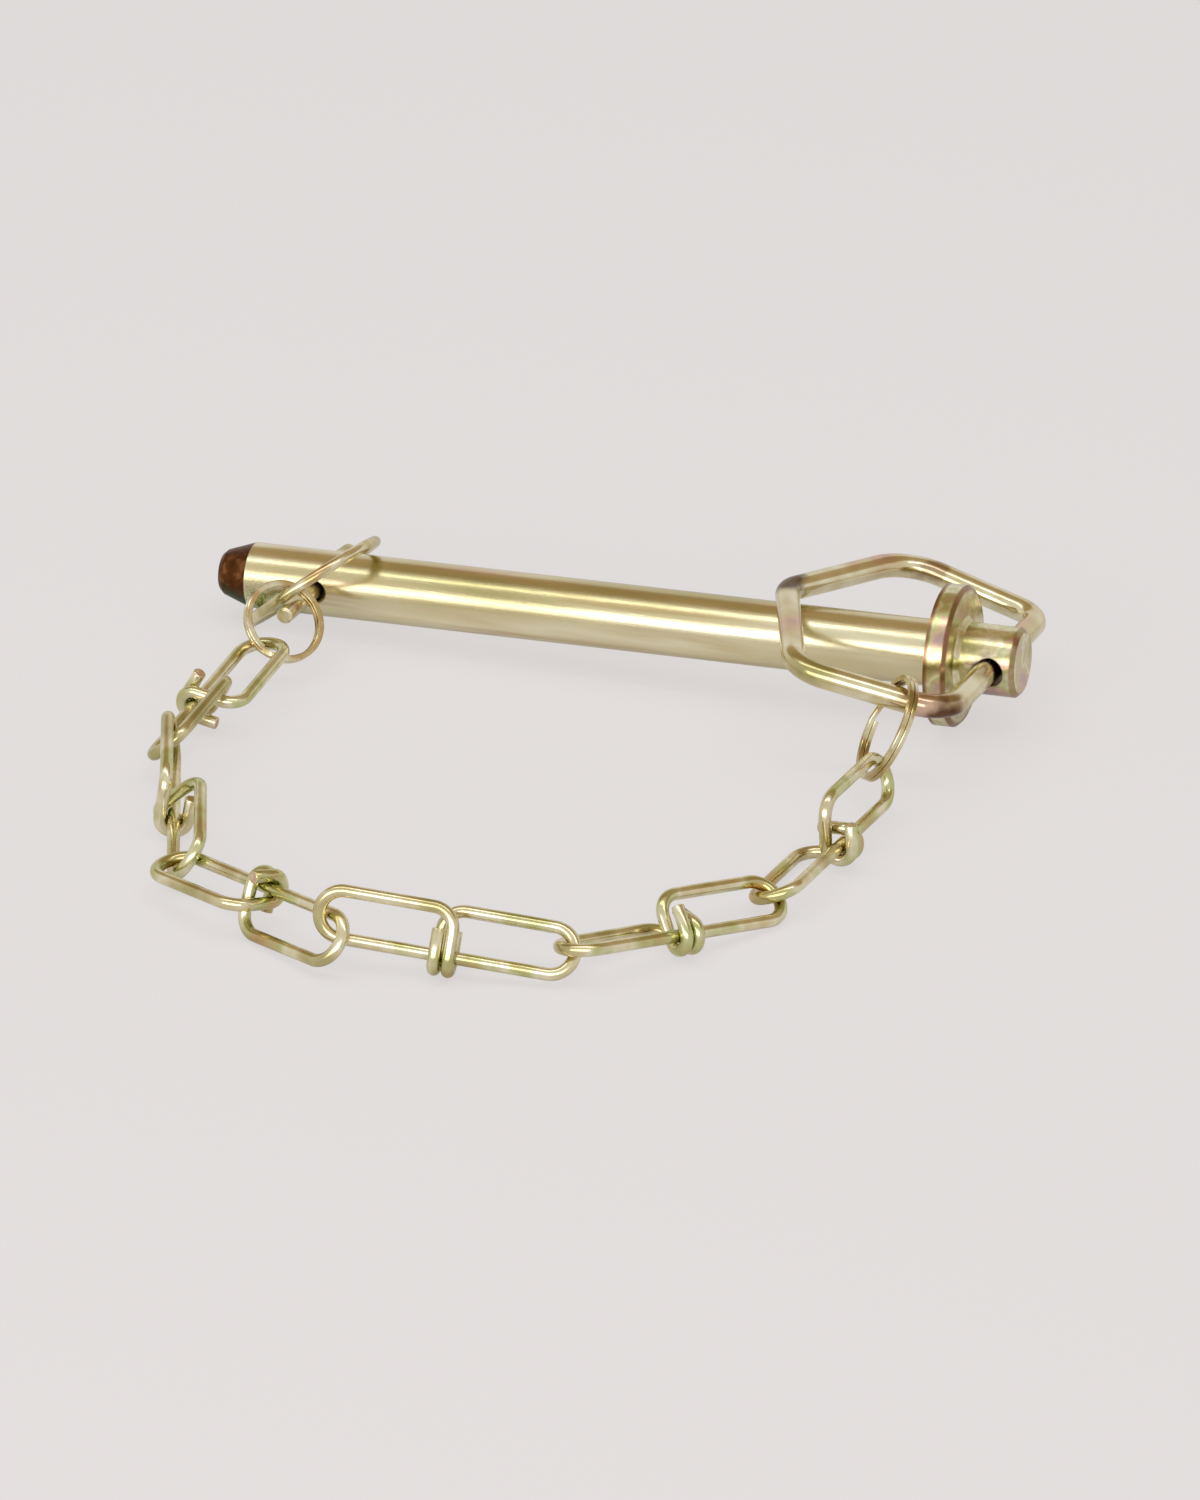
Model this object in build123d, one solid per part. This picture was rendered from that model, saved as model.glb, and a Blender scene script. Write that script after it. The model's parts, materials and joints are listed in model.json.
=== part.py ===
"""Hitch pin with a swinging handle, a locking pin and a knotted-link tether chain.

Millimetres, +Z up.  The origin is the middle of the collar face that bears on the
hitched part.  The pin's own axis is X; the finished set lies on the ground, so every
piece is built along the level pin and then tipped about Y by LIE_TILT.
"""
import os
from math import asin, cos, degrees, radians, sin, sqrt, tan
from build123d import *

os.makedirs("parts", exist_ok=True)

# ---- the turned pin -------------------------------------------------------------
SHAFT_D = 19.05          # three-quarter-inch bar
NOSE_BASE_X = -207.0     # where the tapered nose starts
NOSE_TIP_X = -216.3
NOSE_TIP_D = 12.6
NOSE_ROUND = 1.2
COLLAR_D = 40.4
COLLAR_T = 6.3
COLLAR_CHAMFER = 1.0
STUB_D = 20.0            # head stub beyond the collar
STUB_END_X = 23.5
STUB_CHAMFER = 1.2
STUB_FILLET = 1.5
LIE_TILT = 2.1           # head end up, because the pin lies on its collar and its locking ring

# ---- the handle -----------------------------------------------------------------
HANDLE_WIRE_D = 6.9
HANDLE_HOLE_D = 8.6
HANDLE_HOLE_X = 16.2
HANDLE_HOLE_ROLL = -3.3  # the hole's far end is a little lower
HANDLE_LIFT = 12.4       # the handle leans on the shaft at this slope
HANDLE_SKEW = 4.0        # play of the loose bar in its hole
HANDLE_SLIDE = -3.6      # the bar has slid towards the near side
HANDLE_HALF_BAR = 37.7   # half length of the side that runs through the head
HANDLE_SHOULDER = 44.0   # distance from bar to the shoulder bends
HANDLE_HALF_SHOULDER = 43.7
HANDLE_PEAK = 64.0       # distance from bar to the peak bend
HANDLE_BENDS = (7.5, 16.0, 8.0, 12.0, 12.0)   # far foot, far shoulder, peak, near shoulder, near foot
HANDLE_END_GAP = 0.8     # the two wire ends meet inside the head

# ---- the locking pin and its spring ring ----------------------------------------
LOCK_X = -186.2
LOCK_ROLL = -7.8
LOCK_D = 4.76
LOCK_HOLE_D = 6.3
LOCK_SINK = 0.7          # countersink at both mouths of the cross-hole
LOCK_TIP = -32.5         # along the shank, from the pin's axis
LOCK_TIP_CHAMFER = 0.7
HEAD_FROM, HEAD_TO = 10.3, 21.0
HEAD_WIDE, HEAD_DEEP = 10.0, 9.0
HEAD_ROUND = 1.6
HEAD_SLOT_W, HEAD_SLOT_H = 3.6, 1.5
RING_WIRE_D = 3.1
RING_R = 21.6            # centreline radius of the spring ring
RING_PIVOT = 15.8        # pivot bore in the head, from the pin's axis
RING_TURN = 38.0         # the pivot bore is turned this much up from the pin's axis
RING_SWING = 5.8         # the ring lies on the shank's upper side
RING_PLAY = 0.06
RING_END_GAP = 0.8

# ---- the split rings ------------------------------------------------------------
SPLIT_RADIAL, SPLIT_AXIAL, SPLIT_EDGE = 1.8, 1.35, 0.3
SPLIT_LIFT = 1.45        # from one turn to the next
SPLIT_RAMP = 40.0        # degrees over which the wire climbs to its second turn
SMALL_SPLIT_R, LARGE_SPLIT_R = 11.2, 14.8
#            middle                  heading and rise of the axis   turn of the ramp
SMALL_SPLIT = ((-186.7, -31.1, -4.7), -37.3, 39.2, 250.0)
LARGE_SPLIT = ((-0.9, -50.4, 0.8), -157.2, 27.9, 200.0)

# ---- the chain links ------------------------------------------------------------
LINK_WIRE_D = 3.6
LINK_REACH = 35.0        # from the knot to the end of each loop, centreline
LINK_WIDTH = 13.5        # between the two sides of a loop, centreline
LINK_END_BEND = 6.5
LINK_KNOT_BEND = 4.5
KNOT_CLEAR = 0.3         # between the coils and the wire that they wrap
KNOT_COIL = LINK_WIRE_D + KNOT_CLEAR
KNOT_BEND = KNOT_COIL - 0.1
KNOT_TAIL = 4.0
# where each link has come to rest: its knot, the heading and rise of its straight
# side, the turn of its first and second loop about that side, and the side on which
# each loop's coil starts
LINKS = {
    "chain_link_1": ((-197.8, -71.7, -12.2), -93.7, -3.7, 7.7, 43.4, 1, 1),
    "chain_link_2": ((-181.6, -134.3, -14.8), -70.0, -4.2, 97.7, 55.6, 1, 1),
    "chain_link_3": ((-139.0, -175.8, -9.2), -29.3, 5.4, 182.8, -130.9, -1, -1),
    "chain_link_4": ((-83.7, -188.5, -14.6), 8.3, -5.6, 78.2, 44.1, 1, 1),
    "chain_link_5": ((-25.4, -157.0, -14.2), 52.8, -8.5, -15.6, 29.2, 1, 1),
    "chain_link_6": ((-0.2, -94.8, -13.3), 83.4, -2.6, -23.3, 69.1, 1, 1),
}

AXIS = Vector(1, 0, 0)


def cross_axis(roll):
    """Direction across the pin, tipped by roll degrees."""
    return Vector(0, cos(radians(roll)), sin(radians(roll)))


def bent_wire(points, bends, wire_d):
    """Round wire along straight runs that are joined by tangent bends."""
    points = [Vector(*p) for p in points]
    edges, last = [], points[0]
    for before, corner, after, bend in zip(points, points[1:], points[2:], bends):
        back, on = (before - corner).normalized(), (after - corner).normalized()
        half = radians(back.get_angle(on)) / 2
        run = bend / tan(half)
        start, end = corner + back * run, corner + on * run
        crown = corner + (back + on).normalized() * (bend / sin(half) - bend)
        if (start - last).length > 0.01:
            edges.append(Line(last, start))
        edges.append(ThreePointArc(start, crown, end))
        last = end
    edges.append(Line(last, points[-1]))
    first = (points[1] - points[0]).normalized()
    section = Plane(origin=points[0], z_dir=first) * Circle(wire_d / 2)
    return sweep(section, path=Wire([e for e in edges]))


def bore(middle, direction, bore_d, length):
    """A long cylinder to cut a cross-hole with."""
    plane = Plane(origin=middle - direction * (length / 2), z_dir=direction)
    return extrude(plane * Circle(bore_d / 2), length)


def lie(solid, label, file):
    """Tip a finished piece to where it lies and write it out."""
    solid = Rot(0, -LIE_TILT, 0) * solid
    save(solid, label, file)


def save(solid, label, file):
    solid = solid.solids()[0] if len(solid.solids()) == 1 else solid
    solid.label = label
    export_step(solid, f"parts/{file}.step")
    print(label, "solids", len(solid.solids()), "volume", round(solid.volume, 1))


# ---- hitch pin ------------------------------------------------------------------
r, cr, sr = SHAFT_D / 2, COLLAR_D / 2, STUB_D / 2
outline = Polyline(
    (NOSE_TIP_X, 0), (NOSE_TIP_X, NOSE_TIP_D / 2 - NOSE_ROUND * 0.6), (NOSE_TIP_X + NOSE_ROUND, NOSE_TIP_D / 2 + 0.35),
    (NOSE_BASE_X, r), (0, r), (0, cr), (COLLAR_T - COLLAR_CHAMFER, cr), (COLLAR_T, cr - COLLAR_CHAMFER),
    (COLLAR_T, sr + STUB_FILLET), (COLLAR_T + STUB_FILLET, sr),
    (STUB_END_X - STUB_CHAMFER, sr), (STUB_END_X, sr - STUB_CHAMFER), (STUB_END_X, 0), close=True)
pin = revolve(Plane.XY * make_face(outline), axis=Axis.X)

handle_dir = cross_axis(HANDLE_HOLE_ROLL)
handle_mid = AXIS * HANDLE_HOLE_X
pin -= bore(handle_mid, handle_dir, HANDLE_HOLE_D, STUB_D + 10)

lock_dir = cross_axis(LOCK_ROLL)
lock_mid = AXIS * LOCK_X
pin -= bore(lock_mid, lock_dir, LOCK_HOLE_D, SHAFT_D + 10)
for side in (-1, 1):
    mouth = Plane(origin=lock_mid + lock_dir * side * (r - LOCK_SINK - 0.5), z_dir=lock_dir * side)
    pin -= mouth * Cone(LOCK_HOLE_D / 2, LOCK_HOLE_D / 2 + 2 * LOCK_SINK, 2 * LOCK_SINK,
                        align=(Align.CENTER, Align.CENTER, Align.MIN))
lie(pin, "hitch_pin", "hitch_pin")

# ---- handle ---------------------------------------------------------------------
up = AXIS.cross(handle_dir)
lean = AXIS * -cos(radians(HANDLE_LIFT)) + up * sin(radians(HANDLE_LIFT))
along = lean * cos(radians(HANDLE_SKEW)) + handle_dir * sin(radians(HANDLE_SKEW))
across = handle_dir * cos(radians(HANDLE_SKEW)) - lean * sin(radians(HANDLE_SKEW))


def handle_at(out, side):
    return handle_mid + along * out + across * (side + HANDLE_SLIDE)


handle = bent_wire(
    [handle_at(0, HANDLE_END_GAP / 2 - HANDLE_SLIDE), handle_at(0, HANDLE_HALF_BAR),
     handle_at(HANDLE_SHOULDER, HANDLE_HALF_SHOULDER), handle_at(HANDLE_PEAK, 0),
     handle_at(HANDLE_SHOULDER, -HANDLE_HALF_SHOULDER), handle_at(0, -HANDLE_HALF_BAR),
     handle_at(0, -HANDLE_END_GAP / 2 - HANDLE_SLIDE)], HANDLE_BENDS, HANDLE_WIRE_D)
lie(handle, "handle", "handle")

# ---- locking pin ----------------------------------------------------------------
lock_up = AXIS.cross(lock_dir)
pivot_dir = AXIS * cos(radians(RING_TURN)) + lock_up * sin(radians(RING_TURN))
pivot_mid = lock_mid + lock_dir * RING_PIVOT
ring_bow = (HEAD_WIDE / 2) ** 2 / (2 * RING_R) / 2     # half the bow of the ring inside the head
head_plane = Plane(origin=lock_mid + lock_dir * HEAD_FROM, x_dir=pivot_dir, z_dir=lock_dir)
shank_plane = Plane(origin=lock_mid + lock_dir * LOCK_TIP, z_dir=lock_dir)
shank = extrude(shank_plane * Circle(LOCK_D / 2), HEAD_FROM - LOCK_TIP + 1)
shank = chamfer(shank.edges().sort_by(Axis(tuple(lock_mid), tuple(lock_dir)))[0], LOCK_TIP_CHAMFER)
head = extrude(head_plane * RectangleRounded(HEAD_WIDE, HEAD_DEEP, HEAD_ROUND * 1.5), HEAD_TO - HEAD_FROM)
head = fillet(head.faces().sort_by(Axis(tuple(lock_mid), tuple(lock_dir)))[-1].edges(), HEAD_ROUND * 0.7)
slot_plane = Plane(origin=lock_mid + lock_dir * (HEAD_TO - HEAD_SLOT_H), x_dir=pivot_dir, z_dir=lock_dir)
head -= extrude(slot_plane * Rectangle(HEAD_SLOT_W, HEAD_DEEP + 4), HEAD_SLOT_H + 2)
lock = shank + head
lock -= bore(pivot_mid, pivot_dir, RING_WIRE_D + 2 * (ring_bow + RING_PLAY), HEAD_WIDE + 6)
lie(lock, "locking_pin", "locking_pin")

# ---- locking ring: spring wire, both ends meet in the head's bore ------------------
ring_side = pivot_dir.cross(lock_dir)
ring_out = lock_dir * -cos(radians(RING_SWING)) + ring_side * sin(radians(RING_SWING))
ring_mid = pivot_mid + ring_out * (RING_R - ring_bow)
ring_axis = pivot_dir.cross(ring_out).normalized()
half_gap = degrees(RING_END_GAP / 2 / RING_R)
start_dir = ring_out * -cos(radians(half_gap)) + pivot_dir * sin(radians(half_gap))
tangent = ring_axis.cross(start_dir).normalized()
ring_section = Plane(origin=ring_mid + start_dir * RING_R, z_dir=tangent) * Circle(RING_WIRE_D / 2)
sense = 1 if tangent.dot(pivot_dir) > 0 else -1
ring = revolve(ring_section, axis=Axis(tuple(ring_mid), tuple(ring_axis * sense)),
               revolution_arc=360 - 2 * half_gap)
lie(ring, "locking_ring", "locking_ring")


# ---- split rings ----------------------------------------------------------------
def split_ring(turn_r, pose):
    middle, heading, rise, ramp_at = pose
    z = Vector(cos(radians(rise)) * cos(radians(heading)), cos(radians(rise)) * sin(radians(heading)),
               sin(radians(rise)))
    frame = Plane(origin=middle, x_dir=Vector(0, 0, 1).cross(z), z_dir=z)

    def section(turn, lift):
        upright = Plane.XZ * Pos(turn_r, lift) * RectangleRounded(SPLIT_RADIAL, SPLIT_AXIAL, SPLIT_EDGE)
        return Rot(0, 0, turn) * upright

    low = revolve(section(0, -SPLIT_LIFT / 2), axis=Axis.Z, revolution_arc=360 - SPLIT_RAMP)
    high = revolve(section(0, SPLIT_LIFT / 2), axis=Axis.Z, revolution_arc=360 - SPLIT_RAMP)
    ramp = loft([section(-SPLIT_RAMP * k / 3, SPLIT_LIFT * (0.5 - k / 3)) for k in range(4)], ruled=True)
    return frame * Rot(0, 0, ramp_at) * (low + ramp + high)


save(split_ring(SMALL_SPLIT_R, SMALL_SPLIT), "split_ring_small", "split_ring_small")
save(split_ring(LARGE_SPLIT_R, LARGE_SPLIT), "split_ring_large", "split_ring_large")


# ---- chain links ----------------------------------------------------------------
def half_link(end, turn, coil_side):
    """Points of one loop, from the straight side out, back, and around the straight side."""
    def at(s, t, n):
        c, w = cos(radians(turn)), sin(radians(turn))
        return (end * s, t * c - coil_side * n * w, t * w + coil_side * n * c)

    lead = degrees(asin(KNOT_COIL / LINK_WIDTH))
    reach = sqrt(2) * KNOT_COIL
    corner = [(reach * cos(radians(a)), reach * sin(radians(a))) for a in (135 - lead, 225 - lead, 315 - lead)]
    knot = KNOT_COIL / 2
    edge = [(b - a) / (2 * KNOT_COIL) for a, b in zip(corner[1], corner[2])]
    tail = [a + b * (KNOT_COIL + KNOT_TAIL) for a, b in zip(corner[1], edge)]
    points = [at(LINK_REACH, 0, 0), at(LINK_REACH, LINK_WIDTH, 0), at(knot, LINK_WIDTH, 0),
              at(knot, *corner[0]), at(knot, *corner[1]), at(knot, *tail)]
    return points, [LINK_END_BEND, LINK_END_BEND, LINK_KNOT_BEND, KNOT_BEND, KNOT_BEND]


def chain_link(knot_mid, heading, rise, turn_1, turn_2, side_1, side_2):
    first, bends_1 = half_link(-1, turn_1, side_1)
    second, bends_2 = half_link(1, turn_2, side_2)
    wire = bent_wire(first[::-1] + second, bends_1[::-1] + bends_2, LINK_WIRE_D)
    a, e = radians(heading), radians(rise)
    straight = Vector(cos(a) * cos(e), sin(a) * cos(e), sin(e))
    level = Vector(-sin(a), cos(a), 0)
    return Plane(origin=knot_mid, x_dir=straight, z_dir=straight.cross(level)) * wire


for name, pose in LINKS.items():
    save(chain_link(*pose), name, name)
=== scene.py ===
# %% [markdown]
# # A hitch pin in yellow chromate
# The object is a turned steel pin with a collar, a bent pull handle, a cross locking pin
# with its spring ring, and a chain of knotted wire links that keeps the two together.
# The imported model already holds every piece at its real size, so this script gives the
# pieces their plated surfaces, sets them on a pale floor and lights them.

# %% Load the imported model
import json
from math import asin, ceil, cos, degrees, pi, radians, sin, sqrt, tan

import bpy
from mathutils import Matrix, Vector


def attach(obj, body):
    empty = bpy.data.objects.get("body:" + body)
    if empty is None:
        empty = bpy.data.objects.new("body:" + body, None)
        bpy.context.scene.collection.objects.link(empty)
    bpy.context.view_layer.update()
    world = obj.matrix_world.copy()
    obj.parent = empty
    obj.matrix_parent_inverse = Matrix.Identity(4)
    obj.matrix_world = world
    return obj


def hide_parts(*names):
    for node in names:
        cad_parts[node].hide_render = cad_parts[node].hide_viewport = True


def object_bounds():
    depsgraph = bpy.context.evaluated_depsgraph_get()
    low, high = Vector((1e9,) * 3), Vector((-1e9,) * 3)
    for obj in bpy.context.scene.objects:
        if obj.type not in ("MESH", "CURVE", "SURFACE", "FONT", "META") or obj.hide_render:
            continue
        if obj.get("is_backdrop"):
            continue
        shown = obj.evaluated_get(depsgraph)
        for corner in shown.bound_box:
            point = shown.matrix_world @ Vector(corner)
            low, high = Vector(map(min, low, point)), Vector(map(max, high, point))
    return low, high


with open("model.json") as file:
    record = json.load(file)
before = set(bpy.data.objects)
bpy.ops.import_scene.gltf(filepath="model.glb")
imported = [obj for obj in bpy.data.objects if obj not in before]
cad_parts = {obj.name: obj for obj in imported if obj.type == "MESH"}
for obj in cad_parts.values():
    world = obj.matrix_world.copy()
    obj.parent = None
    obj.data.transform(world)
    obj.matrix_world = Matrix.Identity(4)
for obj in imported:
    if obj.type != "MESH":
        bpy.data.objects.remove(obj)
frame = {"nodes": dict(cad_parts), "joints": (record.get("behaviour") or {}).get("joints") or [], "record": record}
cad_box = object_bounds()
nodes = frame["nodes"]
print("pieces in the model:", len(nodes), sorted(nodes))

# %% [markdown]
# ## How smooth the pieces are
# Rods, wires and turned faces are round on the real object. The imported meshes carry
# smooth shading on their round faces and sharp edges at real corners already, so this
# step only looks at them: a flat count here would show as facets in shiny metal.

# %% Count the smooth faces
for name, piece in nodes.items():
    print(name, "faces", len(piece.data.polygons), "smooth",
          sum(p.use_smooth for p in piece.data.polygons))

# %% [markdown]
# ## Nodes by name
# A plated surface is built from the same few steps again and again, so two small
# helpers add a node and join it to others. A plain number or colour is set on the
# socket itself, and only what varies over the surface is linked.

# %% Helpers for materials
MM = 0.001


def add(tree, kind, inputs=None, **settings):
    """Add a node, set its settings, and fill its inputs from values or from sockets."""
    made = tree.nodes.new("ShaderNode" + kind)
    for key, value in settings.items():
        setattr(made, key, value)
    for key, value in (inputs or {}).items():
        if isinstance(value, bpy.types.NodeSocket):
            tree.links.new(value, made.inputs[key])
        else:
            made.inputs[key].default_value = value
    return made


def maths(tree, how, a, b=0.0, c=0.0):
    return add(tree, "Math", {0: a, 1: b, 2: c}, operation=how).outputs[0]


def blend_colour(tree, share, first, second, how="MIX"):
    """Mix two colours by a share that may be a socket."""
    made = add(tree, "Mix", {"Factor": share}, data_type="RGBA", blend_type=how)
    for slot, value in ((6, first), (7, second)):
        if isinstance(value, bpy.types.NodeSocket):
            tree.links.new(value, made.inputs[slot])
        else:
            made.inputs[slot].default_value = (*value, 1.0)
    return made.outputs[2]


def fade(tree, value, start, end):
    """0 before start, 1 after end, and a smooth climb between them."""
    return add(tree, "MapRange", {"Value": value, "From Min": start, "From Max": end},
               interpolation_type="SMOOTHSTEP", clamp=True).outputs["Result"]


def bands(tree, value, stops):
    """A run of colours along a value from 0 to 1."""
    ramp = add(tree, "ValToRGB", {"Fac": value})
    points = ramp.color_ramp.elements
    while len(points) < len(stops):
        points.new(0.5)
    for point, (place, colour) in zip(points, stops):
        point.position, point.color = place, (*colour, 1.0)
    return ramp.outputs["Color"]


def new_surface(name):
    made = bpy.data.materials.new(name)
    made.use_nodes = True
    made.node_tree.nodes.clear()
    return made, made.node_tree


print("helpers ready")

# %% [markdown]
# ## The colours of chromate
# Zinc plate dipped in yellow chromate is not one colour. The film is thinner or
# thicker from place to place, and its thickness bends the light towards green,
# straw, rose or violet. A soft noise picks from those tints, so they drift along a
# bar as they do when the part is lifted wet out of the bath.

# %% Tints of the chromate film
OLIVE = (0.46, 0.42, 0.18)
GREEN = (0.56, 0.58, 0.27)
STRAW = (0.69, 0.61, 0.36)
HONEY = (0.56, 0.40, 0.18)
PALE = (0.82, 0.77, 0.55)
ROSE = (0.68, 0.48, 0.34)
VIOLET = (0.52, 0.38, 0.36)
BROWN = (0.24, 0.10, 0.03)
# burnt film on the nose, and also the painted shade at the hole mouths and the painted dark reflection at two
# bends of the rod
BURNT_AND_PAINTED_DARK = (0.08, 0.028, 0.006)


def film_colour(tree, where, spread, tints, streak=(1, 1, 1), seed=0.0):
    """Tints that drift over the surface, with patches about spread millimetres wide."""
    stretched = add(tree, "Mapping", {"Vector": where, "Scale": streak,
                                      "Location": (seed, seed * 1.7, seed * 0.6)}).outputs[0]
    drift = add(tree, "TexNoise", {"Vector": stretched, "Scale": 1.0 / (spread * MM),
                                "Detail": 3.0, "Roughness": 0.55}).outputs["Fac"]
    widened = fade(tree, drift, 0.30, 0.70)
    return bands(tree, widened, tints)


print("tints ready")

# %% [markdown]
# ## Along the pin and around its holes
# A turned part needs two values: how far along its axis a point is, and how far from
# it. The pin lies tipped by about two degrees, so its axis is taken from the shank
# mount. The two cross-holes are measured in the same way, from the axes of the joints
# that run through them, so the painted shade around their mouths sits where the holes are.

# %% Distances from an axis
joints = {joint["name"]: joint for joint in frame["joints"]}
shank = next(m for m in frame["record"]["mounts"] if m["name"] == "shank")
TO_HEAD = -Vector(shank["axis"])


def vectors(tree, how, a, b=(0, 0, 0), out="Vector"):
    return add(tree, "VectorMath", {0: a, 1: b}, operation=how).outputs[out]


def along_axis(tree, place, start, axis):
    """How far along an axis each point is, in metres."""
    return vectors(tree, "DOT_PRODUCT", vectors(tree, "SUBTRACT", place, start), axis, "Value")


def from_axis(tree, place, start, axis):
    """How far from an axis each point is, in metres."""
    across = vectors(tree, "CROSS_PRODUCT", vectors(tree, "SUBTRACT", place, start), axis)
    return vectors(tree, "LENGTH", across, out="Value")


def noise(tree, where, scale, detail=2.0, rough=0.5, stretch=(1, 1, 1)):
    """Soft noise from 0 to 1; stretch makes it run in lines."""
    drawn_out = add(tree, "Mapping", {"Vector": where, "Scale": stretch}).outputs[0]
    return add(tree, "TexNoise", {"Vector": drawn_out, "Scale": scale, "Detail": detail,
                                  "Roughness": rough}).outputs["Fac"]


def painted_shade_at_mouth(tree, place, joint, hole_radius, width):
    """Painted shade: 1 at the mouth of a cross-hole and 0 beyond an uneven rim around it."""
    apart = from_axis(tree, place, joint["pos_m"], joint["axis"])
    ragged = maths(tree, "MULTIPLY", noise(tree, place, 420.0), width * 1.2)
    return fade(tree, maths(tree, "ADD", apart, ragged), hole_radius + width * 1.5, hole_radius)


def finish_metal(tree, colour, rough, bump_height, bump_size):
    """The last steps of every plated surface: bump, gloss and the output."""
    bump = add(tree, "Bump", {"Height": bump_height, "Strength": 1.0, "Distance": bump_size})
    skin = add(tree, "BsdfPrincipled", {"Base Color": colour, "Roughness": rough,
                                        "Metallic": 1.0, "Normal": bump.outputs[0]})
    add(tree, "OutputMaterial", {"Surface": skin.outputs[0]})


print("axis of the pin:", [round(v, 4) for v in TO_HEAD])

# %% [markdown]
# ## The turned pin
# Drawn bar has fine lines along it, and the collar and head are turned, so their lines
# run around. The nose cone is burnt dark red-brown where the film is thickest, and the
# sharp edges of the collar catch a thicker brown line as well. Each zone is a soft
# step in one of the two distances, laid over the drifting tints.

# %% Finish of the shank
NOSE_EDGE = -207.0 * MM
COLLAR_BACK = 6.3 * MM
COLLAR_RADIUS = 20.2 * MM
HEAD_END = 23.5 * MM
STUB_RADIUS = 10.0 * MM
HANDLE_HOLE, LOCK_HOLE = 4.3 * MM, 3.15 * MM


def shank_colour(tree, place):
    """Long straw drifts, a rosy line here and there, and green specks behind the nose."""
    colour = film_colour(tree, place, 42, [(0.0, OLIVE), (0.3, STRAW), (0.6, PALE), (1.0, STRAW)],
                         streak=(0.22, 1.3, 1.3))
    lines = fade(tree, noise(tree, place, 160.0, stretch=(0.12, 1, 1)), 0.56, 0.70)
    colour = blend_colour(tree, maths(tree, "MULTIPLY", lines, 0.55), colour, ROSE)
    dark = fade(tree, noise(tree, place, 240.0, stretch=(0.06, 1, 1)), 0.55, 0.72)
    return blend_colour(tree, maths(tree, "MULTIPLY", dark, 0.45), colour, HONEY)


def green_specks(tree, place, x):
    """Fine green crystals in a patch just behind the nose, on the lower side."""
    low = add(tree, "SeparateXYZ", {0: place}).outputs["Z"]
    patch = maths(tree, "MULTIPLY", fade(tree, x, -183.0 * MM, -196.0 * MM),
                  maths(tree, "MULTIPLY", fade(tree, x, -208.0 * MM, -205.0 * MM),
                        fade(tree, low, -3.5 * MM, -8.5 * MM)))
    crystals = fade(tree, noise(tree, place, 1500.0, 1.0), 0.50, 0.60)
    thick = maths(tree, "ADD", maths(tree, "MULTIPLY", crystals, 0.6), 0.25)
    return maths(tree, "MULTIPLY", patch, thick)


print("shank tints ready")

# %% Finish of the collar, head and nose
def head_colour(tree, place, radius):
    """The collar and head: quicker drifts than on the shank, with faint turned rings."""
    colour = film_colour(tree, place, 12, [(0.0, OLIVE), (0.25, STRAW), (0.45, PALE), (0.68, GREEN),
                                           (0.88, ROSE), (1.0, VIOLET)], seed=3.0)
    rings = maths(tree, "SINE", maths(tree, "MULTIPLY", radius, 2 * pi / (1.7 * MM)))
    return blend_colour(tree, maths(tree, "MULTIPLY", fade(tree, rings, 0.2, 1.0), 0.30), colour, HONEY)


def edge_lines(tree, x, radius):
    """Where the film gathers on the turned edges of the collar and of the head."""
    collar = maths(tree, "MULTIPLY", fade(tree, radius, COLLAR_RADIUS - 2.2 * MM, COLLAR_RADIUS - 0.6 * MM),
                   maths(tree, "MAXIMUM", fade(tree, x, 1.6 * MM, 0.5 * MM),
                         fade(tree, x, COLLAR_BACK - 1.5 * MM, COLLAR_BACK - 0.8 * MM)))
    head = maths(tree, "MULTIPLY", fade(tree, x, HEAD_END - 2.0 * MM, HEAD_END - 1.0 * MM),
                 fade(tree, radius, STUB_RADIUS - 1.8 * MM, STUB_RADIUS - 0.9 * MM))
    return maths(tree, "MAXIMUM", collar, maths(tree, "MULTIPLY", head, 0.7))


SCALE_RED, SCALE_RUST, NOSE_UNDERSIDE_SHADE = (0.12, 0.042, 0.010), (0.24, 0.10, 0.035), (0.035, 0.05, 0.012)


def nose_colour(tree, place):
    """Burnt red-brown above, with nearly black green painted shade on the lower side."""
    low = add(tree, "SeparateXYZ", {0: place}).outputs["Z"]
    uneven = maths(tree, "ADD", low, maths(tree, "MULTIPLY", noise(tree, place, 260.0), 9.0 * MM))
    # painted shade: the lower side of the nose turns nearly black green
    below = fade(tree, uneven, -3.0 * MM, -8.0 * MM)
    red = film_colour(tree, place, 3, [(0.0, BURNT_AND_PAINTED_DARK), (0.6, SCALE_RED), (1.0, SCALE_RUST)])
    return blend_colour(tree, below, red, NOSE_UNDERSIDE_SHADE)


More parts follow.
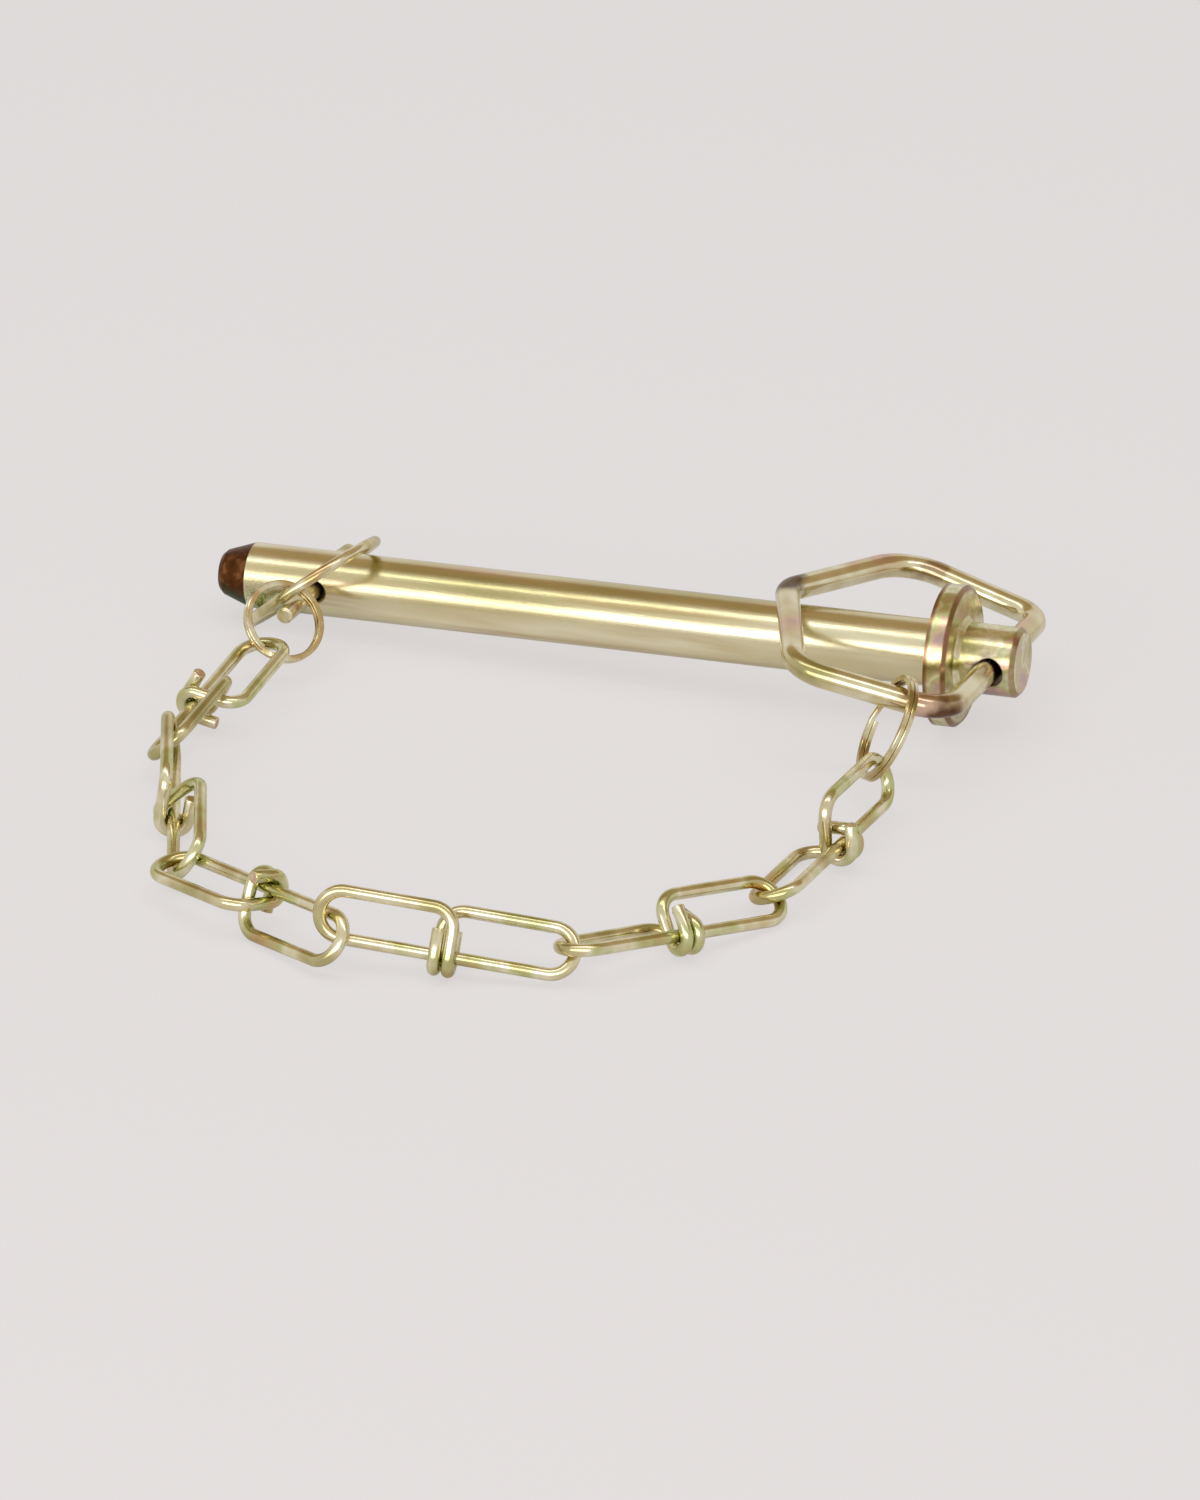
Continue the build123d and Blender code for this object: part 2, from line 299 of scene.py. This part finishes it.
def pin_finish():
    surface, tree = new_surface("turned_pin_chromate")
    place = add(tree, "TexCoord").outputs["Object"]
    x = along_axis(tree, place, (0, 0, 0), TO_HEAD)
    radius = from_axis(tree, place, (0, 0, 0), TO_HEAD)
    on_head = fade(tree, x, -1.0 * MM, 1.0 * MM)
    colour = blend_colour(tree, on_head, shank_colour(tree, place), head_colour(tree, place, radius))
    colour = blend_colour(tree, green_specks(tree, place, x), colour, (0.10, 0.30, 0.08))
    colour = blend_colour(tree, maths(tree, "MULTIPLY", edge_lines(tree, x, radius), 0.85), colour, BROWN)
    # painted shade, nearly black, around the mouths of the two cross-holes where the rod and the locking pin go in
    for name, hole, width in (("handle_hinge", HANDLE_HOLE, 1.9 * MM),
                              ("locking_pin_slide", LOCK_HOLE, 1.5 * MM)):
        mouth = painted_shade_at_mouth(tree, place, joints[name], hole, width)
        colour = blend_colour(tree, maths(tree, "MULTIPLY", mouth, 0.85), colour, BURNT_AND_PAINTED_DARK)
    nose = fade(tree, x, NOSE_EDGE + 0.2 * MM, NOSE_EDGE - 0.2 * MM)
    colour = blend_colour(tree, nose, colour, nose_colour(tree, place))
    drawn = noise(tree, place, 2600.0, 3.0, 0.6, stretch=(0.03, 1, 1))
    around = add(tree, "CombineXYZ", {"X": x, "Y": radius}).outputs[0]
    turned = noise(tree, around, 3600.0)
    lines = add(tree, "Mix", {"Factor": on_head, 2: drawn, 3: turned}, data_type="FLOAT").outputs[0]
    grain = noise(tree, place, 1300.0, 2.0, 0.7)
    height = maths(tree, "ADD", lines, maths(tree, "MULTIPLY", grain, 0.6))
    rough = maths(tree, "ADD", maths(tree, "MULTIPLY", grain, 0.14), 0.16)
    rough = maths(tree, "ADD", rough, maths(tree, "MULTIPLY", nose, 0.15))
    finish_metal(tree, colour, rough, height, 0.026 * MM)
    return surface


pin_surface = pin_finish()
print("made", pin_surface.name)

# %% [markdown]
# ## The bent rod and the wires
# The handle is bent from drawn rod and shows long smooth drifts from straw to rose,
# with a painted dark reflection, nearly black, near two of its bends. The locking pin, its ring and the
# split rings are smaller and shinier. One recipe serves all of them with other tints.

# %% Finishes of the rod, the wires and the rings


# corners of the bent rod that get a painted dark reflection: the near foot and the peak
DARK_REFLECTION_BENDS = ((13.3 * MM, -41.1 * MM, 0.0), (-46.9 * MM, 1.7 * MM, 16.0 * MM))
DARK_REFLECTION_REACH = 8.0 * MM
WIRE_GRAIN = 1400.0          # grains to a metre, so each is under a millimetre


def near_bends(tree, place, bends, reach):
    """1 close to either of two bends, fading to 0 at an uneven distance from them."""
    ragged = maths(tree, "MULTIPLY", noise(tree, place, 130.0, 3.0), reach * 0.9)
    shares = []
    for bend in bends:
        apart = vectors(tree, "DISTANCE", place, bend, "Value")
        shares.append(fade(tree, maths(tree, "ADD", ragged, apart), reach * 1.5, reach))
    return maths(tree, "MAXIMUM", *shares)


def wire_finish(name, spread, tints, rough, seed, accent=0.3, bump=0.010, where=None, reflection_bends=()):
    """Drifting tints, brown accents, a painted dark reflection near the given bends and a fine grain; where may be
    a drawn-out place.
    """
    surface, tree = new_surface(name)
    place = add(tree, "TexCoord").outputs["Object"]
    colour = film_colour(tree, place, spread, tints, seed=seed)
    accents = fade(tree, noise(tree, place, 70.0, 3.0), 0.58, 0.72)
    colour = blend_colour(tree, maths(tree, "MULTIPLY", accents, accent), colour, BROWN)
    if reflection_bends:
        # painted dark reflection, nearly black, close to the given bends of the rod
        painted_reflection = near_bends(tree, place, reflection_bends, DARK_REFLECTION_REACH)
        colour = blend_colour(tree, maths(tree, "MULTIPLY", painted_reflection, 0.9), colour, BURNT_AND_PAINTED_DARK)
    lines = place
    if where:
        lines = add(tree, "Attribute", attribute_name=where).outputs["Vector"]
        streaks = fade(tree, noise(tree, lines, 520.0, stretch=(0.05, 1, 1)), 0.52, 0.70)
        colour = blend_colour(tree, maths(tree, "MULTIPLY", streaks, 0.25), colour, HONEY)
    grain = noise(tree, lines, WIRE_GRAIN, 3.0, 0.7, stretch=(0.15, 1, 1) if where else (1, 1, 1))
    patches = noise(tree, place, 160.0)
    glow = maths(tree, "ADD", maths(tree, "MULTIPLY", patches, rough[1]), rough[0])
    finish_metal(tree, colour, glow, grain, bump * MM)
    return surface


rod_surface = wire_finish("bent_rod_chromate", 34,
                          [(0.0, OLIVE), (0.25, STRAW), (0.5, PALE), (0.78, STRAW),
                           (0.94, ROSE), (1.0, VIOLET)],
                          (0.12, 0.12), 4.0, accent=0.6, reflection_bends=DARK_REFLECTION_BENDS)
lock_surface = wire_finish("locking_pin_chromate", 9,
                           [(0.0, OLIVE), (0.4, STRAW), (0.75, PALE), (1.0, ROSE)], (0.22, 0.16), 5.0)
spring_surface = wire_finish("spring_wire_chromate", 14,
                             [(0.0, OLIVE), (0.4, STRAW), (0.7, PALE), (1.0, HONEY)], (0.14, 0.14), 7.0)
split_surface = wire_finish("split_ring_chromate", 10,
                            [(0.0, OLIVE), (0.35, HONEY), (0.65, STRAW), (1.0, PALE)],
                            (0.11, 0.10), 9.0, bump=0.006)
link_surface = wire_finish("link_wire_chromate", 24,
                           [(0.0, OLIVE), (0.25, STRAW), (0.5, PALE), (0.75, GREEN), (1.0, HONEY)],
                           (0.14, 0.12), 11.0, accent=0.2, bump=0.005, where="drawn")
surfaces = {"hitch_pin": pin_surface, "handle": rod_surface, "locking_pin": lock_surface,
            "locking_ring": spring_surface, "split_ring_small": split_surface,
            "split_ring_large": split_surface}
for name, piece in nodes.items():
    piece.data.materials.clear()
    piece.data.materials.append(surfaces.get(name, link_surface))
print("finished nodes:", len(nodes))

# %% [markdown]
# ## The cut ends of a link
# A chain machine shears the wire to length, and the plating bath comes afterwards, so
# the cut face is rough and takes a paler film than the drawn side of the wire.

# %% Finish of a sheared end


def cut_finish():
    surface, tree = new_surface("sheared_wire_end")
    place = add(tree, "TexCoord").outputs["Object"]
    torn = noise(tree, place, 900.0, 3.0, 0.6, stretch=(1, 1, 0.3))
    colour = bands(tree, torn, [(0.3, HONEY), (0.5, ROSE), (0.7, PALE)])
    finish_metal(tree, colour, 0.38, torn, 0.05 * MM)
    return surface


cut_surface = cut_finish()
print("made", cut_surface.name)

# %% [markdown]
# ## One wire, one link
# Each link is a single wire. Its middle is straight. From there each half runs out to
# a round end, comes back past the middle, crosses the other half and coils once
# around the straight part, so that its cut tail stands up beside it. That is six
# corners a half. It could be a curve with a round bevel, but a swept mesh can also
# carry the distance along the wire, which the drawn lines in the finish follow.

# %% Sizes of a link
WIRE_RADIUS = 1.8 * MM
LINK_REACH = 35.0 * MM       # from the knot to the end of each loop
LINK_WIDTH = 13.5 * MM       # between the two sides of a loop
LINK_END_BEND = 6.5 * MM
LINK_KNOT_BEND = 6.0 * MM
KNOT_COIL = 3.9 * MM         # from the straight side's middle to the coil's
KNOT_BEND = 3.8 * MM
KNOT_TAIL = 7.0 * MM
CUT_EDGE = 0.25 * MM         # the shear rolls the edge over a little
AROUND = 24
# where each link lies: its knot in millimetres, the heading and rise of its straight
# side, the turn of its two loops, and the side on which each coil starts
LINKS = {
    "chain_link_1": ((-197.8, -71.7, -12.2), -93.7, -3.7, 7.7, 43.4, 1, -1),
    "chain_link_2": ((-181.6, -134.3, -14.8), -70.0, -4.2, 97.7, 55.6, 1, 1),
    "chain_link_3": ((-139.0, -175.8, -9.2), -29.3, 5.4, 182.8, -130.9, 1, -1),
    "chain_link_4": ((-83.7, -188.5, -14.6), 8.3, -5.6, 78.2, 44.1, 1, -1),
    "chain_link_5": ((-25.4, -157.0, -14.2), 52.8, -8.5, -15.6, 29.2, -1, -1),
    "chain_link_6": ((-0.2, -94.8, -13.3), 83.4, -2.6, -23.3, 69.1, -1, -1),
}
print("links:", len(LINKS), "of wire", round(2 * WIRE_RADIUS / MM, 1), "mm thick")


# %% The corners of half a link
def half_link(end, turn, side):
    """Corners of one loop from the straight side out, back across, around it, and up."""
    def at(out, over, beside):
        c, w = cos(radians(turn)), sin(radians(turn))
        return Vector((end * out, over * c - side * beside * w, over * w + side * beside * c))

    lead = degrees(asin(KNOT_COIL / LINK_WIDTH))
    corners = [(sqrt(2) * KNOT_COIL * cos(radians(a - lead)), sqrt(2) * KNOT_COIL * sin(radians(a - lead)))
               for a in (135, 225, 315)]
    past = -KNOT_COIL / 2
    tail = [a + (b - a) / (2 * KNOT_COIL) * (KNOT_COIL + KNOT_TAIL) for a, b in zip(corners[1], corners[2])]
    return ([at(LINK_REACH, 0, 0), at(LINK_REACH, LINK_WIDTH, 0), at(past, LINK_WIDTH, 0),
             at(past, *corners[0]), at(past, *corners[1]), at(past, *tail)],
            [LINK_END_BEND, LINK_END_BEND, LINK_KNOT_BEND, KNOT_BEND, KNOT_BEND])


print("corners of a half link:", [[round(v / MM, 1) for v in p] for p in half_link(1, 0, 1)[0]])


# %% Round the corners
def rounded(corners, bends, step=radians(8)):
    """The wire's middle line, with each corner turned into an arc."""
    route = [corners[0]]
    for before, corner, after, bend in zip(corners, corners[1:], corners[2:], bends):
        into, away = (corner - before).normalized(), (after - corner).normalized()
        turn = into.angle(away)
        centre = corner + (away - into).normalized() * (bend / cos(turn / 2))
        spoke = corner - into * (bend * tan(turn / 2)) - centre
        axis = into.cross(away).normalized()
        pieces = ceil(turn / step)
        route += [centre + Matrix.Rotation(turn * k / pieces, 3, axis) @ spoke for k in range(pieces + 1)]
    return route + [corners[-1]]


quarter_turn = [Vector((0, 0, 0)), Vector((1, 0, 0)), Vector((1, 1, 0))]
print("points on a quarter bend:", len(rounded(quarter_turn, [0.2])) - 2)


# %% Sweep the wire
def swept_wire(name, route):
    """A round wire along a route, with rolled-over cut ends and its length stored on it."""
    first, last = (route[1] - route[0]).normalized(), (route[-1] - route[-2]).normalized()
    stations = ([(route[0] - first * CUT_EDGE, WIRE_RADIUS - CUT_EDGE)] + [(p, WIRE_RADIUS) for p in route]
                + [(route[-1] + last * CUT_EDGE, WIRE_RADIUS - CUT_EDGE)])
    heading, side = first, first.orthogonal().normalized()
    verts, drawn, length = [], [], 0.0
    for k, (middle, radius) in enumerate(stations):
        if k:
            step = middle - stations[k - 1][0]
            length += step.length
            ahead = (stations[min(k + 1, len(stations) - 1)][0] - stations[k - 1][0]).normalized()
            side = heading.rotation_difference(ahead) @ side
            heading = ahead
        over = heading.cross(side)
        for j in range(AROUND):
            c, w = cos(2 * pi * j / AROUND), sin(2 * pi * j / AROUND)
            verts.append(middle + (side * c + over * w) * radius)
            drawn.append((length, c * radius, w * radius))
    rings = len(stations)
    faces = [(i + j, i + (j + 1) % AROUND, i + AROUND + (j + 1) % AROUND, i + AROUND + j)
             for i in range(0, (rings - 1) * AROUND, AROUND) for j in range(AROUND)]
    caps = [tuple(reversed(range(AROUND))), tuple(range((rings - 1) * AROUND, rings * AROUND))]
    mesh = bpy.data.meshes.new(name)
    mesh.from_pydata(verts, [], faces + caps)
    store = mesh.attributes.new("drawn", "FLOAT_VECTOR", "POINT")
    store.data.foreach_set("vector", [v for point in drawn for v in point])
    for number, face in enumerate(mesh.polygons):
        face.use_smooth = number < len(faces)
        face.material_index = int(number >= len(faces))
    wire = bpy.data.objects.new(name, mesh)
    bpy.context.scene.collection.objects.link(wire)
    return wire, length


print("wire sides:", AROUND)


# %% Make the six links
def knotted_link(node, knot, heading, rise, turn_1, turn_2, side_1, side_2):
    first, bends_1 = half_link(-1, turn_1, side_1)
    second, bends_2 = half_link(1, turn_2, side_2)
    a, e = radians(heading), radians(rise)
    straight = Vector((cos(a) * cos(e), sin(a) * cos(e), sin(e)))
    level = Vector((-sin(a), cos(a), 0.0))
    lie = Matrix((straight, level, straight.cross(level))).transposed()
    corners = [Vector(knot) * MM + lie @ p for p in first[::-1] + second]
    wire, length = swept_wire(node.replace("chain", "knotted"), rounded(corners, bends_1[::-1] + bends_2))
    wire.data.materials.append(link_surface)
    wire.data.materials.append(cut_surface)
    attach(wire, node)
    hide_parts(node)
    print(wire.name, "wire length", round(length / MM, 1), "mm, faces", len(wire.data.polygons))
    return wire


knotted = [knotted_link(node, *pose) for node, pose in LINKS.items()]

# %% [markdown]
# ## Floor, lights and cards
# The set lies on a pale floor. Plated metal has no look of its own: it shows the room.
# A wide soft light in front and above fills the near side of the round bars, a long
# narrow one above draws the thin bright line along them. A brown card behind gives the
# dark line that makes a bar look round, and a pale one fills the gap between the two
# lights. The cards are seen only in reflections. The floor adds some even light of its
# own for the eye, so that it stays one pale tone from near to far and still keeps the
# shadow.

# %% What the eye and the mirror see
PAPER = (0.776, 0.745, 0.737)


def seen(tree):
    """1 for rays from the eye, from a mirror and through glass; 0 for the rest."""
    path = add(tree, "LightPath")
    return maths(tree, "MAXIMUM", path.outputs["Is Camera Ray"],
                 maths(tree, "MAXIMUM", path.outputs["Is Glossy Ray"], path.outputs["Is Transmission Ray"]))


print("paper tone", PAPER)

# %% Floor
FLOOR_Z = cad_box[0][2] - 0.0002
FLOOR_HALF = 6.0
EVEN_SHARE = 0.80            # of the floor's tone that doesn't depend on the lights
EVEN_IN_METAL = 0.30         # the same, for reflections, so they keep the dark contact line


def flat_sheet(name, corners):
    mesh = bpy.data.meshes.new(name)
    mesh.from_pydata(corners, [], [(0, 1, 2, 3)])
    sheet = bpy.data.objects.new(name, mesh)
    bpy.context.scene.collection.objects.link(sheet)
    sheet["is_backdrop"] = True
    return sheet


def paper_surface():
    surface, tree = new_surface("pale_paper")
    place = add(tree, "TexCoord").outputs["Object"]
    fleck = maths(tree, "MULTIPLY", noise(tree, place, 900.0), 0.03)
    colour = blend_colour(tree, fleck, PAPER, (0.74, 0.71, 0.70))
    lit = add(tree, "BsdfPrincipled", {"Base Color": colour, "Roughness": 0.9, "Specular IOR Level": 0.1})
    even = add(tree, "Emission", {"Color": (*PAPER, 1.0), "Strength": 1.0})
    from_eye = add(tree, "LightPath").outputs["Is Camera Ray"]
    share = maths(tree, "ADD", maths(tree, "MULTIPLY", seen(tree), EVEN_IN_METAL),
                  maths(tree, "MULTIPLY", from_eye, EVEN_SHARE - EVEN_IN_METAL))
    both = add(tree, "MixShader", {0: share, 1: lit.outputs[0], 2: even.outputs[0]})
    add(tree, "OutputMaterial", {"Surface": both.outputs[0]})
    return surface


h = FLOOR_HALF
floor = flat_sheet("paper_floor", [(-h, -h, FLOOR_Z), (h, -h, FLOOR_Z), (h, h, FLOOR_Z), (-h, h, FLOOR_Z)])
floor.data.materials.append(paper_surface())
print("floor at", round(FLOOR_Z, 4))

# %% Lights
MIDDLE = Vector((-0.10, -0.06, 0.0))


def around_bar(angle):
    """A direction seen from the pin's side: 0 is level in front, 90 is straight up."""
    return Vector((0.0, -cos(radians(angle)), sin(radians(angle))))


def soft_light(name, angle, distance, size, power):
    lamp = bpy.data.lights.new(name, "AREA")
    lamp.shape, lamp.size, lamp.size_y, lamp.energy = "RECTANGLE", size[0], size[1], power
    holder = bpy.data.objects.new(name, lamp)
    away = around_bar(angle)
    holder.location = MIDDLE + away * distance
    holder.rotation_euler = away.to_track_quat("Z", "Y").to_euler()
    bpy.context.scene.collection.objects.link(holder)
    return holder


soft_light("front_panel", 24, 1.3, (1.8, 0.55), 7.2)
soft_light("top_strip", 82, 1.2, (1.8, 0.14), 2.4)
ceiling = soft_light("ceiling", 90, 2.2, (3.4, 2.6), 22.0)
ceiling.visible_glossy = False

# %% Cards that only the metal sees


def reflected_card(name, angle, distance, width, height, tone):
    """A card that only reflections see, facing the pin from a direction around it."""
    out, side = around_bar(angle), Vector((1, 0, 0))
    up = out.cross(side)
    middle = MIDDLE + out * distance
    card = flat_sheet(name, [middle + side * (width / 2 * a) + up * (height / 2 * b)
                             for a, b in ((-1, -1), (1, -1), (1, 1), (-1, 1))])
    surface, tree = new_surface(name + "_felt")
    felt = add(tree, "Emission", {"Color": (*tone, 1.0), "Strength": 1.0})
    add(tree, "OutputMaterial", {"Surface": felt.outputs[0]})
    card.data.materials.append(surface)
    card.visible_camera = card.visible_diffuse = card.visible_shadow = False
    card.visible_transmission = card.visible_volume_scatter = False
    return card


reflected_card("rear_card", 122, 1.1, 3.6, 0.95, (0.44, 0.33, 0.19))
reflected_card("high_card", 58, 1.35, 3.6, 0.34, (0.80, 0.78, 0.70))

# %% [markdown]
# ## The room around the set
# Lamps alone leave black gaps in polished metal. A plain pale room closes them: dim as
# a light, and as pale as the floor where the eye or a mirror meets it.

# %% World
world = bpy.data.worlds.new("pale_room")
bpy.context.scene.world = world
world.use_nodes = True
room = world.node_tree
room.nodes.clear()
plain = add(room, "Background", {"Color": (*PAPER, 1.0), "Strength": 0.45})
shown = add(room, "Background", {"Color": (*PAPER, 1.0), "Strength": 1.0})
either = add(room, "MixShader", {0: seen(room), 1: plain.outputs[0], 2: shown.outputs[0]})
add(room, "OutputWorld", {"Surface": either.outputs[0]})
bpy.context.scene.view_settings.view_transform = "Standard"
print("world:", world.name)

# %% [markdown]
# ## Camera
# The camera stands a little to the right of the pin's middle and looks down on it from
# a distance through a long lens, so the bars stay nearly parallel.

# %% Camera
AZIMUTH, ELEVATION = radians(18.5), radians(27.3)
DISTANCE = 3.0
FRAME_HEIGHT = 0.42330
SENSOR = 36.0
ASIDE, BELOW = 0.0968, 0.0271    # from the origin to the middle of the view


def set_camera():
    back = Vector((sin(AZIMUTH) * cos(ELEVATION), -cos(AZIMUTH) * cos(ELEVATION), sin(ELEVATION)))
    right = Vector((cos(AZIMUTH), sin(AZIMUTH), 0.0))
    up = back.cross(right)
    aim = -right * ASIDE - up * BELOW
    lens = bpy.data.cameras.new("camera")
    lens.sensor_fit, lens.sensor_height, lens.sensor_width = "VERTICAL", SENSOR, SENSOR
    lens.lens = SENSOR * DISTANCE / FRAME_HEIGHT
    lens.clip_start, lens.clip_end = 0.1, 50.0
    holder = bpy.data.objects.new("camera", lens)
    bpy.context.scene.collection.objects.link(holder)
    turned = Matrix((right, up, back)).transposed().to_4x4()
    holder.matrix_world = Matrix.Translation(aim + back * DISTANCE) @ turned
    bpy.context.scene.camera = holder
    return aim


print("camera looks at", [round(v, 4) for v in set_camera()])

# %% [markdown]
# ## Is it still the same size?
# Finishes and redrawn links must not make the part larger than it is. The box around
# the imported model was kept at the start, so the two can be compared.

# %% Sizes before and after
full_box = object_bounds()
for name, box in (("packed model", cad_box), ("dressed model", full_box)):
    print(name, "mm:", [round((high - low) / MM, 2) for low, high in zip(*box)])
